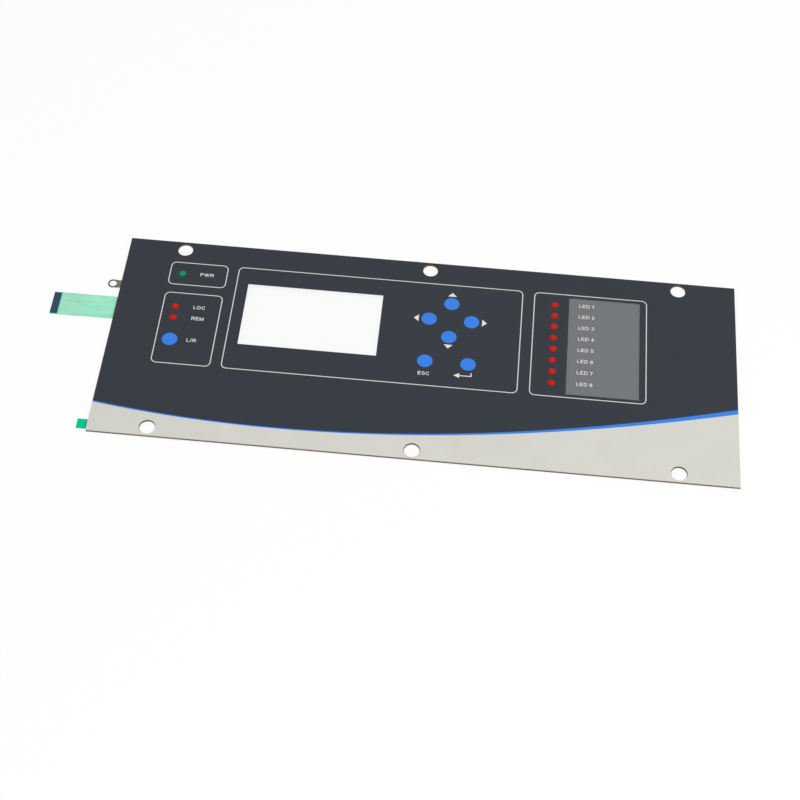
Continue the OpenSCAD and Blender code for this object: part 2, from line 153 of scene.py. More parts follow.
class KeypadFilms(bpy.types.PropertyGroup):
    """Colours of the films, sheets and metal behind the front."""

    clear: colour_property("Clear film", "Haze of the overlay film", (0.81, 0.84, 0.87))
    haze: share_property("Haze", "How much of the light one face of the clear film holds back", 0.082)
    card: colour_property("Label card", "Card behind the label window", (0.058, 0.062, 0.070))
    adhesive: colour_property("Adhesive", "Edge of the adhesive sheets", (0.21, 0.11, 0.06))
    spacer: colour_property("Spacer", "Polyester spacer", (0.135, 0.08, 0.05))
    foil: colour_property("Foil", "Aluminium shield foil", (0.72, 0.72, 0.71))
    steel: colour_property("Steel", "Snap domes", (0.60, 0.58, 0.55))
    silver: colour_property("Silver ink", "Printed conductors", (0.56, 0.55, 0.52))
    lug: colour_property("Lug", "Tinned brass lug", (0.235, 0.193, 0.166))
    # The darkened ring is partly painted shade and partly the darker tone of the metal
    lug_ring: length_property("Lug ring", "Diameter of the darkened ring of the lug", 6.1 * MM)
    mint: colour_property("Mint coat", "Sealing coat of the tail", (0.37, 0.855, 0.63))
    mint_shade: colour_property("Mint between", "Sealing coat between the conductors", (0.245, 0.67, 0.46))
    mint_pale: colour_property("Mint over stiffener", "Sealing coat over the stiffener", (0.39, 0.77, 0.57))
    rim: colour_property("Bare film", "Film that shows round the contacts", (0.13, 0.62, 0.66))
    circuit: colour_property("Circuit film", "Film that carries the conductors", (0.42, 0.78, 0.63))
    carbon: colour_property("Carbon", "Carbon ink of the contacts", (0.011, 0.036, 0.050))
    stiffener: colour_property("Stiffener", "Polyester under the contacts", (0.018, 0.085, 0.115))
    liner: colour_property("Liner", "Release liner and its tab", (0.0, 0.57, 0.30))
    lamp: colour_property("Lamp", "Base of a chip lamp", (0.80, 0.79, 0.74))
    lamp_lens: colour_property("Lamp lens", "Lens of a chip lamp", (0.86, 0.78, 0.42))
    lamp_base: length_property("Lamp base", "Height of the base of a chip lamp", 0.2 * MM)
    pitch: length_property("Pitch", "Distance between the conductors of the tail", 0.8 * MM)
    coat_lip: length_property("Coat lip", "Length of the thin end of the sealing coat", 0.5 * MM)


class KeypadLegends(bpy.types.PropertyGroup):
    """Sizes and places of the printed words and signs."""

    height: length_property("Ink height", "How far the legends stand on the front", 0.012 * MM)
    cap: length_property("Capitals", "Height of the capitals", 2.45 * MM)
    stroke: length_property("Stroke", "Width of the strokes of the letters", 0.40 * MM)
    spacing: number_property("Spacing", "Gap between letters, over their height", 0.19)
    space: number_property("Word space", "Gap between words, over the height of the letters", 0.33)
    status_gap: length_property("Status words", "Middle of a lamp to its word", 10.6 * MM)
    status_lift: length_property("Status lift", "Middle of a lamp up to the middle of its word", 0.25 * MM)
    column_gap: length_property("Column words", "Middle of a column lamp to its word", 14.3 * MM)
    column_lift: length_property("Column lift", "Middle of a column lamp up to its word", 0.65 * MM)
    local_key_gap: length_property("Local key word", "Middle of the local key to its word", 9.8 * MM)
    escape_drop: length_property("Escape word", "Middle of the escape key down to its word", 8.9 * MM)
    arrow_gap: length_property("Arrow gap", "Rim of a key to the arrow above or below it", 1.15 * MM)
    side_arrow_gap: length_property("Side arrow gap", "Rim of a key to the arrow beside it", 1.65 * MM)
    arrow_length: length_property("Arrow length", "Base of an arrow to its tip", 2.85 * MM)
    arrow_half: length_property("Arrow half width", "Half of the base of an arrow", 2.6 * MM)
    enter_drop: length_property("Enter sign", "Middle of the enter key down to its sign", 8.5 * MM)
    enter_left: length_property("Enter tip", "Middle of the enter key to the tip of its sign", 7.95 * MM)
    enter_right: length_property("Enter stem", "Middle of the enter key to the stem of its sign", 2.2 * MM)
    enter_rise: length_property("Enter rise", "Height of the stem of the enter sign", 2.4 * MM)
    enter_head: length_property("Enter head", "Length of the head of the enter sign", 3.4 * MM)
    enter_half: length_property("Enter half head", "Half of the width of that head", 1.75 * MM)
    enter_stroke: length_property("Enter stroke", "Width of the line of the enter sign", 0.62 * MM)


class KeypadStage(bpy.types.PropertyGroup):
    """Floor, light and camera."""

    floor: colour_property("Floor", "Colour of the floor", (0.92, 0.92, 0.92))
    floor_white: share_property("Floor white", "Share of plain white where the floor is seen", 0.85)
    floor_roughness: share_property("Floor roughness", "Roughness of the floor", 0.9)
    floor_shine: share_property("Floor shine", "Specular level of the floor", 0.1)
    floor_half: length_property("Floor half", "Half of the side of the floor", 6.0)
    floor_drop: length_property("Floor drop", "Gap between the part and the floor", 0.03 * MM)
    sky: number_property("Sky", "Strength of the white surround on the object", 0.66)
    key_power: number_property("Key light", "Power of the key light", 9.5, unit="POWER")
    key_place: place_property("Key place", "Where the key light stands", (0.35, -0.85, 1.2))
    fill_power: number_property("Fill light", "Power of the fill light", 2.5, unit="POWER")
    fill_place: place_property("Fill place", "Where the fill light stands", (0.95, 0.55, 1.1))
    lamp_side: length_property("Light size", "Side of each soft light", 0.9)
    aim_x: length_property("Aim X", "Where the camera looks on the front, along X", -9.6 * MM)
    aim_y: length_property("Aim Y", "Where the camera looks on the front, along Y", -32.2 * MM)
    distance: length_property("Distance", "Camera to that point", 970.0 * MM)
    azimuth: angle_property("Azimuth", "Camera round the part, from straight in front", 3.343)
    elevation: angle_property("Elevation", "Camera above the floor", 53.84)
    roll: angle_property("Roll", "Turn of the camera about its own axis", 2.272)
    lens: number_property("Lens", "Focal length in millimetres", 77.02, unit="CAMERA")
    sensor: number_property("Sensor", "Width of the camera's sensor in millimetres", 36.0, unit="CAMERA")
    near: length_property("Near limit", "Nearest distance that the camera shows", 10 * MM)


class Finish:
    """A material in the making. Its patterns lie in the part's own frame, in metres."""

    def __init__(self, name, colour, roughness, metallic=0.0, shine=0.5, alpha=1.0):
        self.material = bpy.data.materials.new(name)
        self.material.use_nodes = True
        self.material.diffuse_color = (*colour, alpha)
        self.tree = self.material.node_tree
        self.shader = self.tree.nodes["Principled BSDF"]
        self.colour = (*colour, 1.0)
        self.normal = None
        self.socket("Base Color").default_value = self.colour
        self.socket("Roughness").default_value = roughness
        self.socket("Metallic").default_value = metallic
        self.socket("Specular IOR Level").default_value = shine
        self.socket("Alpha").default_value = alpha
        self.place = self.node("ShaderNodeTexCoord").outputs["Object"]

    def socket(self, name):
        return self.shader.inputs[name]

    def node(self, kind, settings=None, **inputs):
        """A node with its settings, and its inputs set or linked by name."""
        made = self.tree.nodes.new(kind)
        for key, value in (settings or {}).items():
            setattr(made, key, value)
        for key, value in inputs.items():
            self.feed(made.inputs[key.replace("_", " ")], value)
        return made

    def feed(self, socket, value):
        """Links an output to a socket, or sets the socket."""
        if isinstance(value, bpy.types.NodeSocket):
            self.tree.links.new(value, socket)
        else:
            socket.default_value = value

    def math(self, operation, first, second=0.0):
        made = self.tree.nodes.new("ShaderNodeMath")
        made.operation = operation
        self.feed(made.inputs[0], first)
        self.feed(made.inputs[1], second)
        return made.outputs[0]

    def spread(self, value, low, high, to_low=0.0, to_high=1.0):
        """A value's range from low to high, mapped to another range and clamped to it."""
        made = self.node("ShaderNodeMapRange", Value=value)
        for key, number in zip(("From Min", "From Max", "To Min", "To Max"), (low, high, to_low, to_high)):
            made.inputs[key].default_value = number
        return made.outputs["Result"]

    def noise(self, size, detail=2.0, stretch=(1.0, 1.0, 1.0)):
        """Noise with spots of about that size, drawn out along the axes by stretch."""
        scale = tuple(1.0 / (size * factor) for factor in stretch)
        placed = self.node("ShaderNodeMapping", Vector=self.place, Scale=scale)
        made = self.node("ShaderNodeTexNoise", Vector=placed.outputs["Vector"], Scale=1.0, Detail=detail)
        return made.outputs["Fac"]

    def along(self, axis):
        """One coordinate of the part's frame."""
        return self.node("ShaderNodeSeparateXYZ", Vector=self.place).outputs[axis]

    def cut_edge(self):
        """1 on the upright sides where a sheet was cut, and 0 on its faces."""
        normal = self.node("ShaderNodeNewGeometry").outputs["True Normal"]
        level = self.math("ABSOLUTE", self.node("ShaderNodeSeparateXYZ", Vector=normal).outputs["Z"])
        return self.spread(level, EDGE_NORMAL, FACE_NORMAL, to_low=1.0, to_high=0.0)

    def bump(self, height, depth):
        """Adds relief of that depth to what the material has."""
        made = self.node("ShaderNodeBump", Height=height, Distance=depth)
        if self.normal is not None:
            self.feed(made.inputs["Normal"], self.normal)
        self.normal = made.outputs["Normal"]
        self.feed(self.socket("Normal"), self.normal)

    def tint(self, amount, colour):
        """Turns the colour so far towards another where amount is 1."""
        made = self.node("ShaderNodeMix", {"data_type": "RGBA"})
        self.feed(made.inputs["Factor"], amount)
        base = self.socket("Base Color")
        self.feed(made.inputs["A"], base.links[0].from_socket if base.is_linked else self.colour)
        self.feed(made.inputs["B"], (*colour, 1.0))
        self.feed(base, made.outputs["Result"])

    def mottle(self, pattern, start, end, most, colour):
        """Tints where the pattern is high, from nothing at start to that share of the colour at end."""
        self.tint(self.spread(pattern, start, end, to_low=0.0, to_high=most), colour)

    def rough(self, pattern, low, high):
        """Roughness from low to high as the pattern goes from dark to light."""
        self.feed(self.socket("Roughness"), self.spread(pattern, NOISE_LOW, NOISE_HIGH, low, high))


def toned(colour, share):
    """A colour at a share of its brightness."""
    return tuple(part * share for part in colour)


def dress(finish, *nodes):
    """Gives nodes of the frame a finish."""
    for name in nodes:
        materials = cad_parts[name].data.materials
        materials.clear()
        materials.append(finish.material)


def satin_ink(name, colour):
    """Ink under the satin face of the overlay, with velvet grain, slow waves and faintly uneven colour."""
    inks = bpy.context.scene.keypad_inks
    finish = Finish(name, colour, inks.roughness, shine=inks.shine)
    cloud = finish.noise(inks.wave, detail=3.0)
    grain = finish.noise(inks.grain)
    finish.mottle(cloud, start=0.35, end=0.75, most=0.5, colour=toned(colour, share=0.9))
    smear = finish.noise(size=2.5 * MM, detail=4.0)
    finish.rough(smear, low=inks.roughness - 0.05, high=inks.roughness + 0.06)
    finish.bump(cloud, inks.wave_depth)
    finish.bump(grain, inks.grain_depth)
    return finish


class KEYPAD_OT_overlay(bpy.types.Operator):
    """Finish the clear overlay film and the fields printed on it"""

    bl_idname = "keypad.overlay"
    bl_label = "Overlay"

    def execute(self, context):
        inks, films = context.scene.keypad_inks, context.scene.keypad_films
        dress(satin_ink("dark_ink", inks.dark), "dark_field_print")
        dress(satin_ink("grey_ink", inks.grey), "grey_band_print")
        dress(satin_ink("blue_ink", inks.blue), "blue_stripe_print", "key_discs_print")
        dress(satin_ink("white_ink", toned(inks.white, inks.line_share)), "frame_lines_print")
        film = Finish("clear_film", films.clear, roughness=0.3, shine=0.4, alpha=films.haze)
        film.bump(film.noise(inks.wave, detail=3.0), inks.wave_depth)
        film.rough(film.noise(size=6 * MM, detail=3.0), low=0.24, high=0.34)
        dress(film, "overlay_film")
        return {"FINISHED"}


class KEYPAD_OT_indicators(bpy.types.Operator):
    """Finish the tinted indicator windows and the chip lamps under them"""

    bl_idname = "keypad.indicators"
    bl_label = "Indicators"

    def execute(self, context):
        inks, films = context.scene.keypad_inks, context.scene.keypad_films
        reds = lamp_places(("local", "remote") + COLUMN_LAMPS)
        dress(self.lens("red_lens", inks.red, reds), "red_indicator_print")
        dress(self.lens("green_lens", inks.green, lamp_places(("power",))), "green_indicator_print")
        lamp = Finish("lamp_body", films.lamp, roughness=0.4)
        lens_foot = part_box("led_power")[0].z + films.lamp_base
        blur = 0.02 * MM
        lamp.tint(lamp.spread(lamp.along("Z"), lens_foot, lens_foot + blur), films.lamp_lens)
        lamp.bump(lamp.noise(size=0.05 * MM), depth=2 * MICRON)
        lamp.rough(lamp.noise(size=0.3 * MM), low=0.3, high=0.5)
        dress(lamp, *("led_" + name for name in STATUS_LAMPS + COLUMN_LAMPS))
        return {"FINISHED"}

    def lens(self, name, colour, places):
        """Tinted ink on an embossed window, darker over the lamp, with painted shade towards the rim."""
        inks = bpy.context.scene.keypad_inks
        finish = satin_ink(name, colour)
        finish.socket("Specular IOR Level").default_value = inks.window_shine
        nearest = None
        front = front_level()
        for place in places:
            gap = finish.node("ShaderNodeVectorMath", {"operation": "DISTANCE"})
            finish.feed(gap.inputs[0], finish.place)
            gap.inputs[1].default_value = (place.x, place.y, front)
            reach = gap.outputs["Value"]
            nearest = reach if nearest is None else finish.math("MINIMUM", nearest, reach)
        radius = self.window_radius()
        core, halo = inks.lamp_core * radius, inks.lamp_halo * radius
        lamp = finish.spread(nearest, core, halo, to_low=inks.lamp_shade, to_high=0.0)
        finish.tint(lamp, toned(colour, share=0.5))
        # Painted shade towards the rim of the window, standing in for the shading of its dome
        rim = finish.spread(nearest, inks.rim_start * radius, radius, to_low=0.0, to_high=inks.painted_rim_shade)
        finish.tint(rim, toned(colour, share=0.3))
        return finish

    def window_radius(self):
        """Radius of an indicator window, from the one that stands alone."""
        low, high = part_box("green_indicator_print")
        return (high.x - low.x) / 2


class KEYPAD_OT_label(bpy.types.Operator):
    """Finish the card behind the label window"""

    bl_idname = "keypad.label"
    bl_label = "Label Card"

    def execute(self, context):
        films = context.scene.keypad_films
        card = Finish("label_card", films.card, roughness=0.8, shine=0.2)
        fibre = card.noise(size=0.25 * MM, detail=4.0, stretch=(3.0, 1.0, 1.0))
        card.mottle(fibre, start=0.4, end=0.75, most=0.4, colour=toned(films.card, share=1.25))
        card.bump(fibre, depth=8 * MICRON)
        card.rough(fibre, low=0.72, high=0.88)
        dress(card, "label_insert")
        return {"FINISHED"}


class KEYPAD_OT_laminate(bpy.types.Operator):
    """Finish the adhesive sheets, the shield foil, the spacer and the snap domes"""

    bl_idname = "keypad.laminate"
    bl_label = "Laminate"

    def execute(self, context):
        films = context.scene.keypad_films
        adhesive = Finish("adhesive", films.adhesive, roughness=0.45)
        smear = adhesive.noise(size=1.2 * MM, detail=3.0)
        adhesive.mottle(smear, start=0.35, end=0.7, most=0.6, colour=toned(films.adhesive, share=0.7))
        adhesive.bump(smear, depth=20 * MICRON)
        adhesive.rough(smear, low=0.35, high=0.6)
        dress(adhesive, "overlay_adhesive", "rear_adhesive")

        spacer = Finish("spacer_film", films.spacer, roughness=0.55, shine=0.3)
        cut = spacer.noise(size=0.6 * MM, detail=3.0, stretch=(1.0, 1.0, 4.0))
        spacer.mottle(cut, start=0.35, end=0.7, most=0.7, colour=toned(films.spacer, share=0.72))
        spacer.bump(cut, depth=15 * MICRON)
        spacer.rough(cut, low=0.45, high=0.65)
        dress(spacer, "dome_spacer")

        foil = Finish("foil", films.foil, roughness=0.35, metallic=1.0)
        rolled = foil.noise(size=0.3 * MM, detail=3.0, stretch=(20.0, 1.0, 1.0))
        foil.bump(rolled, depth=2 * MICRON)
        foil.rough(rolled, low=0.28, high=0.45)
        dress(foil, "shield_foil")

        steel = Finish("dome_steel", films.steel, roughness=0.25, metallic=1.0)
        brushed = steel.noise(size=0.08 * MM, detail=2.0, stretch=(12.0, 1.0, 1.0))
        steel.bump(brushed, depth=1 * MICRON)
        steel.rough(brushed, low=0.2, high=0.36)
        dress(steel, *("dome_" + name for name in KEYS))
        return {"FINISHED"}


class KEYPAD_OT_tail(bpy.types.Operator):
    """Finish the circuit film, its conductors and the flat tail"""

    bl_idname = "keypad.tail"
    bl_label = "Circuit and Tail"

    def execute(self, context):
        films = context.scene.keypad_films
        silver = Finish("silver_ink", films.silver, roughness=0.5, metallic=0.8)
        flake = silver.noise(size=0.06 * MM, detail=3.0)
        silver.bump(flake, depth=3 * MICRON)
        silver.rough(flake, low=0.4, high=0.62)
        dress(silver, "circuit_tracks")

        dress(self.mint_coat(films), "tail_dielectric")
        dress(self.bare_film(films), "circuit_film")

        carbon = Finish("carbon_ink", films.carbon, roughness=0.6, shine=0.3)
        speck = carbon.noise(size=0.09 * MM, detail=3.0)
        carbon.mottle(speck, start=0.4, end=0.7, most=0.5, colour=toned(films.carbon, share=1.6))
        carbon.bump(speck, depth=4 * MICRON)
        carbon.rough(speck, low=0.5, high=0.7)
        dress(carbon, "tail_contacts")

        stiffener = Finish("stiffener_film", films.stiffener, roughness=0.3)
        haze = stiffener.noise(size=4 * MM, detail=3.0)
        stiffener.bump(haze, depth=10 * MICRON)
        stiffener.rough(haze, low=0.24, high=0.4)
        dress(stiffener, "tail_stiffener")
        return {"FINISHED"}

    def mint_coat(self, films):
        """Sealing coat, ridged over the conductors, darker between them and greyer over the stiffener."""
        coat = Finish("mint_coat", films.mint, roughness=0.42, shine=0.35)
        middle = centre_of("tail_contacts").y
        turns = coat.math("DIVIDE", coat.math("SUBTRACT", coat.along("Y"), middle), films.pitch)
        wave = coat.math("COSINE", coat.math("MULTIPLY", turns, 2.0 * math.pi))
        ridge = coat.spread(wave, -1.0, 1.0, to_low=1.0, to_high=0.0)
        drift = coat.noise(size=3 * MM, detail=3.0, stretch=(6.0, 1.0, 1.0))
        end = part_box("tail_stiffener")[1].x
        fade_start, fade_end = end - 1.5 * MM, end + 1.0 * MM
        over_stiffener = coat.spread(coat.along("X"), fade_start, fade_end, to_low=1.0, to_high=0.0)
        coat.tint(over_stiffener, films.mint_pale)
        uneven = coat.spread(drift, NOISE_LOW, NOISE_HIGH, to_low=0.3, to_high=1.0)
        gap_start = -0.2
        gap = coat.spread(wave, gap_start, 1.0)
        coat.tint(coat.math("MULTIPLY", uneven, gap), films.mint_shade)
        streak = coat.noise(size=0.8 * MM, detail=2.0, stretch=(9.0, 1.0, 1.0))
        coat.mottle(streak, start=0.42, end=0.72, most=0.5, colour=toned(films.mint_shade, share=0.88))
        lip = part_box("tail_dielectric")[0].x + films.coat_lip
        blur = 0.3 * MM
        coat.tint(coat.spread(coat.along("X"), lip, lip + blur, to_low=1.0, to_high=0.0), films.rim)
        coat.bump(ridge, depth=12 * MICRON)
        coat.bump(coat.noise(size=0.2 * MM), depth=3 * MICRON)
        coat.rough(drift, low=0.36, high=0.5)
        return coat

    def bare_film(self, films):
        """Circuit film, bare round the contacts, dark between them and brown where the laminate was cut."""
        film = Finish("circuit_film", films.circuit, roughness=0.38, shine=0.4)
        low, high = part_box("tail_contacts")
        half = (high.y - low.y) / 2
        blur = 0.05 * MM
        outer = film.spread(film.along("X"), high.x, high.x + blur, to_low=1.0, to_high=0.0)
        middle = (low.y + high.y) / 2
        off_axis = film.math("ABSOLUTE", film.math("SUBTRACT", film.along("Y"), middle))
        contacts = film.spread(off_axis, half - blur, half, to_low=1.0, to_high=0.0)
        film.tint(outer, films.rim)
        film.tint(film.math("MULTIPLY", outer, contacts), films.stiffener)
        panel_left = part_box("dark_field_print")[0].x
        in_panel = film.spread(film.along("X"), panel_left - 2 * blur, panel_left - blur)
        film.tint(film.math("MULTIPLY", film.cut_edge(), in_panel), films.adhesive)
        film.bump(film.noise(size=8 * MM, detail=3.0), depth=20 * MICRON)
        film.rough(film.noise(size=3 * MM, detail=3.0), low=0.3, high=0.46)
        return film


class KEYPAD_OT_lug(bpy.types.Operator):
    """Finish the stamped ring lug"""

    bl_idname = "keypad.lug"
    bl_label = "Ring Lug"

    def execute(self, context):
        films = context.scene.keypad_films
        metal = Finish("lug_metal", films.lug, roughness=0.38, metallic=1.0)
        scratch = metal.noise(size=0.12 * MM, detail=4.0, stretch=(8.0, 1.0, 1.0))
        stain = metal.noise(size=1.5 * MM, detail=4.0)
        metal.mottle(stain, start=0.4, end=0.7, most=0.6, colour=toned(films.lug, share=0.6))
        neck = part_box("ground_lug")[0].x + films.lug_ring
        blur = 1 * MM
        # Painted shade, partly the darker tone of the metal: the ring is darkened, fading out towards its
        # neck
        ring_shade_and_tone = metal.spread(metal.along("X"), neck - blur, neck, to_low=0.6, to_high=0.0)
        metal.tint(ring_shade_and_tone, toned(films.lug, share=0.45))
        metal.bump(scratch, depth=3 * MICRON)
        metal.rough(stain, low=0.3, high=0.5)
        dress(metal, "ground_lug")
        return {"FINISHED"}


class KEYPAD_OT_liner(bpy.types.Operator):
    """Finish the release liner and its pull tab"""

    bl_idname = "keypad.liner"
    bl_label = "Release Liner"

    def execute(self, context):
        films = context.scene.keypad_films
        liner = Finish("liner_film", films.liner, roughness=0.28, shine=0.06)
        ripple = liner.noise(size=14 * MM, detail=4.0, stretch=(2.5, 1.0, 1.0))
        smear = liner.noise(size=4 * MM, detail=4.0)
        liner.mottle(smear, start=0.35, end=0.7, most=0.5, colour=toned(films.liner, share=0.82))
        liner.tint(liner.cut_edge(), films.adhesive)
        liner.bump(ripple, depth=60 * MICRON)
        liner.rough(smear, low=0.22, high=0.38)
        dress(liner, "release_liner")
        return {"FINISHED"}


def legend_ink():
    """The white ink of words and signs, one material for all of them."""
    name = "legend_ink"
    made = bpy.data.materials.get(name)
    return made or satin_ink(name, bpy.context.scene.keypad_inks.white).material


def bend(x, y, across, up, start, end, steps=14):
    """Points of an arc about x and y, from one angle in degrees to another."""
    turns = [math.radians(start + (end - start) * i / steps) for i in range(steps + 1)]
    return [Vector((x + across * math.cos(turn), y + up * math.sin(turn))) for turn in turns]


def line(*points):
    """Points of a straight or broken line."""
    return [Vector(point) for point in points]


def oval(x, y, across, up):
    """Points of a closed oval."""
    return bend(x, y, across, up, 0, 360, steps=24)


# Width of each letter over its height, and the middle lines of its strokes in a box of side 1
LETTERS = {
    "C": (0.89, [bend(0.5, 0.5, 0.5, 0.5, 47, 313, steps=20)]),
    "D": (0.84, [line((0, 1), (0, 0), (0.42, 0)) + bend(0.42, 0.5, 0.58, 0.5, -90, 90) + line((0, 1))]),
    "E": (0.75, [line((1, 1), (0, 1), (0, 0), (1, 0)), line((0, 0.52), (0.9, 0.52))]),
    "L": (0.62, [line((0, 1), (0, 0), (1, 0))]),
    "M": (0.95, [
        line((0, 0), (0, 1)), line((0.04, 0.94), (0.5, 0.05)),
        line((0.5, 0.05), (0.96, 0.94)), line((1, 1), (1, 0)),
    ]),
    "O": (0.96, [oval(0.5, 0.5, 0.5, 0.5)]),
    "P": (0.76, [
        line((0, 0), (0, 1), (0.65, 1)) + bend(0.65, 0.73, 0.35, 0.27, 90, -90) + line((0, 0.46)),
    ]),
    "R": (0.86, [
        line((0, 0), (0, 1), (0.65, 1)) + bend(0.65, 0.74, 0.32, 0.26, 90, -90) + line((0, 0.48)),
        line((0.55, 0.46), (0.96, 0.03)),
    ]),
    "S": (0.79, [bend(0.5, 0.75, 0.46, 0.25, 30, 270) + bend(0.5, 0.25, 0.5, 0.25, 90, -150)]),
    "W": (1.29, [
        line((0.01, 0.99), (0.25, 0.03)), line((0.25, 0.03), (0.5, 0.97)),
        line((0.5, 0.97), (0.75, 0.03)), line((0.75, 0.03), (0.99, 0.99)),
    ]),
    "/": (0.42, [line((0.05, 0.02), (0.95, 0.98))]),
    "1": (0.42, [line((1, 0), (1, 1)), line((0.1, 0.76), (0.9, 0.93))]),
    "2": (0.66, [bend(0.5, 0.71, 0.48, 0.29, 160, -30) + line((0.03, 0)), line((0, 0), (1, 0))]),
    "3": (0.66, [bend(0.47, 0.76, 0.44, 0.24, 155, -90) + bend(0.47, 0.26, 0.53, 0.26, 90, -155)]),
    "4": (0.69, [line((0.74, 0), (0.74, 1)), line((0.68, 0.93), (0.04, 0.33)), line((0, 0.28), (1, 0.28))]),
    "5": (0.66, [line((0.9, 1), (0.2, 1), (0.07, 0.5)) + bend(0.5, 0.32, 0.5, 0.32, 142, -150)]),
    "6": (0.66, [oval(0.5, 0.31, 0.5, 0.31), bend(0.56, 0.5, 0.56, 0.5, 190, 47)]),
    "7": (0.66, [line((0, 1), (1, 1)), line((0.97, 0.95), (0.36, 0))]),
    "8": (0.66, [oval(0.5, 0.765, 0.43, 0.235), oval(0.5, 0.265, 0.5, 0.265)]),
}

# Longest mitre of a turn, over the half width of its stroke
MITRE_LIMIT = 2.0
# Distance under which two points of a letter count as one
SAME_SPOT = 0.0001
STRIP_CORNERS = 4
# The output of Delaunay triangles that reaches out to the hull
WHOLE_HULL = 0


def strips_along(points, half):
    """Four-cornered strips of a stroke along a line, square at its ends and mitred where it turns."""
    closed = (points[0] - points[-1]).length < SAME_SPOT
    points = points[:1] + [b for a, b in zip(points, points[1:]) if (b - a).length > SAME_SPOT]
    ways = [(b - a).normalized() for a, b in zip(points, points[1:])]
    if not closed:
        points[0] = points[0] - ways[0] * half
        points[-1] = points[-1] + ways[-1] * half
    before = [ways[-1] if closed else ways[0]] + ways
    after = ways + [ways[0] if closed else ways[-1]]
    sides = []
    for point, way_in, way_out in zip(points, before, after):
        out = Vector((-way_in.y - way_out.y, way_in.x + way_out.x)).normalized()
        square = Vector((-way_in.y, way_in.x))
        reach = out * half / max(out.dot(square), 1 / MITRE_LIMIT)
        sides.append((point + reach, point - reach))
    return [[a[0], a[1], b[1], b[0]] for a, b in zip(sides, sides[1:])]


def covers(strip, spot):
    """Whether a spot lies in a four-cornered strip."""
    sides = [(b - a).cross(spot - a) for a, b in zip(strip, strip[1:] + strip[:1])]
    return min(sides) > 0.0 or max(sides) < 0.0


def fill(shape, strips, corner, scale):
    """Adds the area that the strips of a letter cover to a mesh on the front, each spot once."""
    points = [point for strip in strips for point in strip]
    loops = [range(i, i + STRIP_CORNERS) for i in range(0, len(points), STRIP_CORNERS)]
    spots, _, faces, _, _, _ = delaunay_2d_cdt(points, [], loops, WHOLE_HULL, SAME_SPOT)
    front = front_level()
    corners = [shape.verts.new((*(corner + spot * scale), front)) for spot in spots]
    for face in faces:
        middle = sum((spots[i] for i in face), Vector((0.0, 0.0))) / len(face)
        if any(covers(strip, middle) for strip in strips):
            shape.faces.new([corners[i] for i in face])
    bmesh.ops.delete(shape, geom=[spot for spot in shape.verts if not spot.link_faces], context="VERTS")


def print_piece(name, shape):
    """Makes a piece of a flat print on the front, as a closed layer of ink."""
    height = bpy.context.scene.keypad_legends.height
    raised = bmesh.ops.extrude_face_region(shape, geom=shape.faces[:])["geom"]
    for part in raised:
        if isinstance(part, bmesh.types.BMVert):
            part.co.z += height
    bmesh.ops.recalc_face_normals(shape, faces=shape.faces)
    mesh = bpy.data.meshes.new(name)
    shape.to_mesh(mesh)
    shape.free()
    mesh.materials.append(legend_ink())
    piece = bpy.data.objects.new(name, mesh)
    bpy.context.scene.collection.objects.link(piece)
    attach(piece, BODY)


class KEYPAD_OT_words(bpy.types.Operator):
    """Print the words beside the keys and lamps"""

    bl_idname = "keypad.words"
    bl_label = "Words"

    def execute(self, context):
        legends = context.scene.keypad_legends
        for name, text in zip(STATUS_LAMPS, STATUS_WORDS):
            place = centre_of("led_" + name) + Vector((legends.status_gap, legends.status_lift, 0.0))
            self.word("legend_" + name, text, place)
        place = centre_of("dome_local_remote") + Vector((legends.local_key_gap, legends.status_lift, 0.0))
        self.word("legend_local_remote", "L/R", place)
        for name in COLUMN_LAMPS:
            place = centre_of("led_" + name) + Vector((legends.column_gap, legends.column_lift, 0.0))
            self.word("legend_lamp_" + name, "LED " + name, place)
        place = centre_of("dome_escape") - Vector((0.0, legends.escape_drop, 0.0))
        self.word("legend_escape", "ESC", place, centred=True)
        return {"FINISHED"}

    def word(self, name, text, place, centred=False):
        """A word whose left end, or middle, is at a place on the front."""
        legends = bpy.context.scene.keypad_legends
        half = legends.stroke / legends.cap / 2
        gaps = [legends.space if letter == " " else LETTERS[letter][0] + legends.spacing for letter in text]
        length = (sum(gaps) - legends.spacing) * legends.cap
        corner = Vector((place.x - length / 2 if centred else place.x, place.y - legends.cap / 2))
        shape = bmesh.new()
        for letter, gap in zip(text, gaps):
            if letter != " ":
                width, strokes = LETTERS[letter]
                reach = Vector((width - 2 * half, 1 - 2 * half))
                strips = []
                for stroke in strokes:
                    strips += strips_along([Vector((half, half)) + point * reach for point in stroke], half)
                fill(shape, strips, corner, legends.cap)
            corner.x += gap * legends.cap
        print_piece(name, shape)


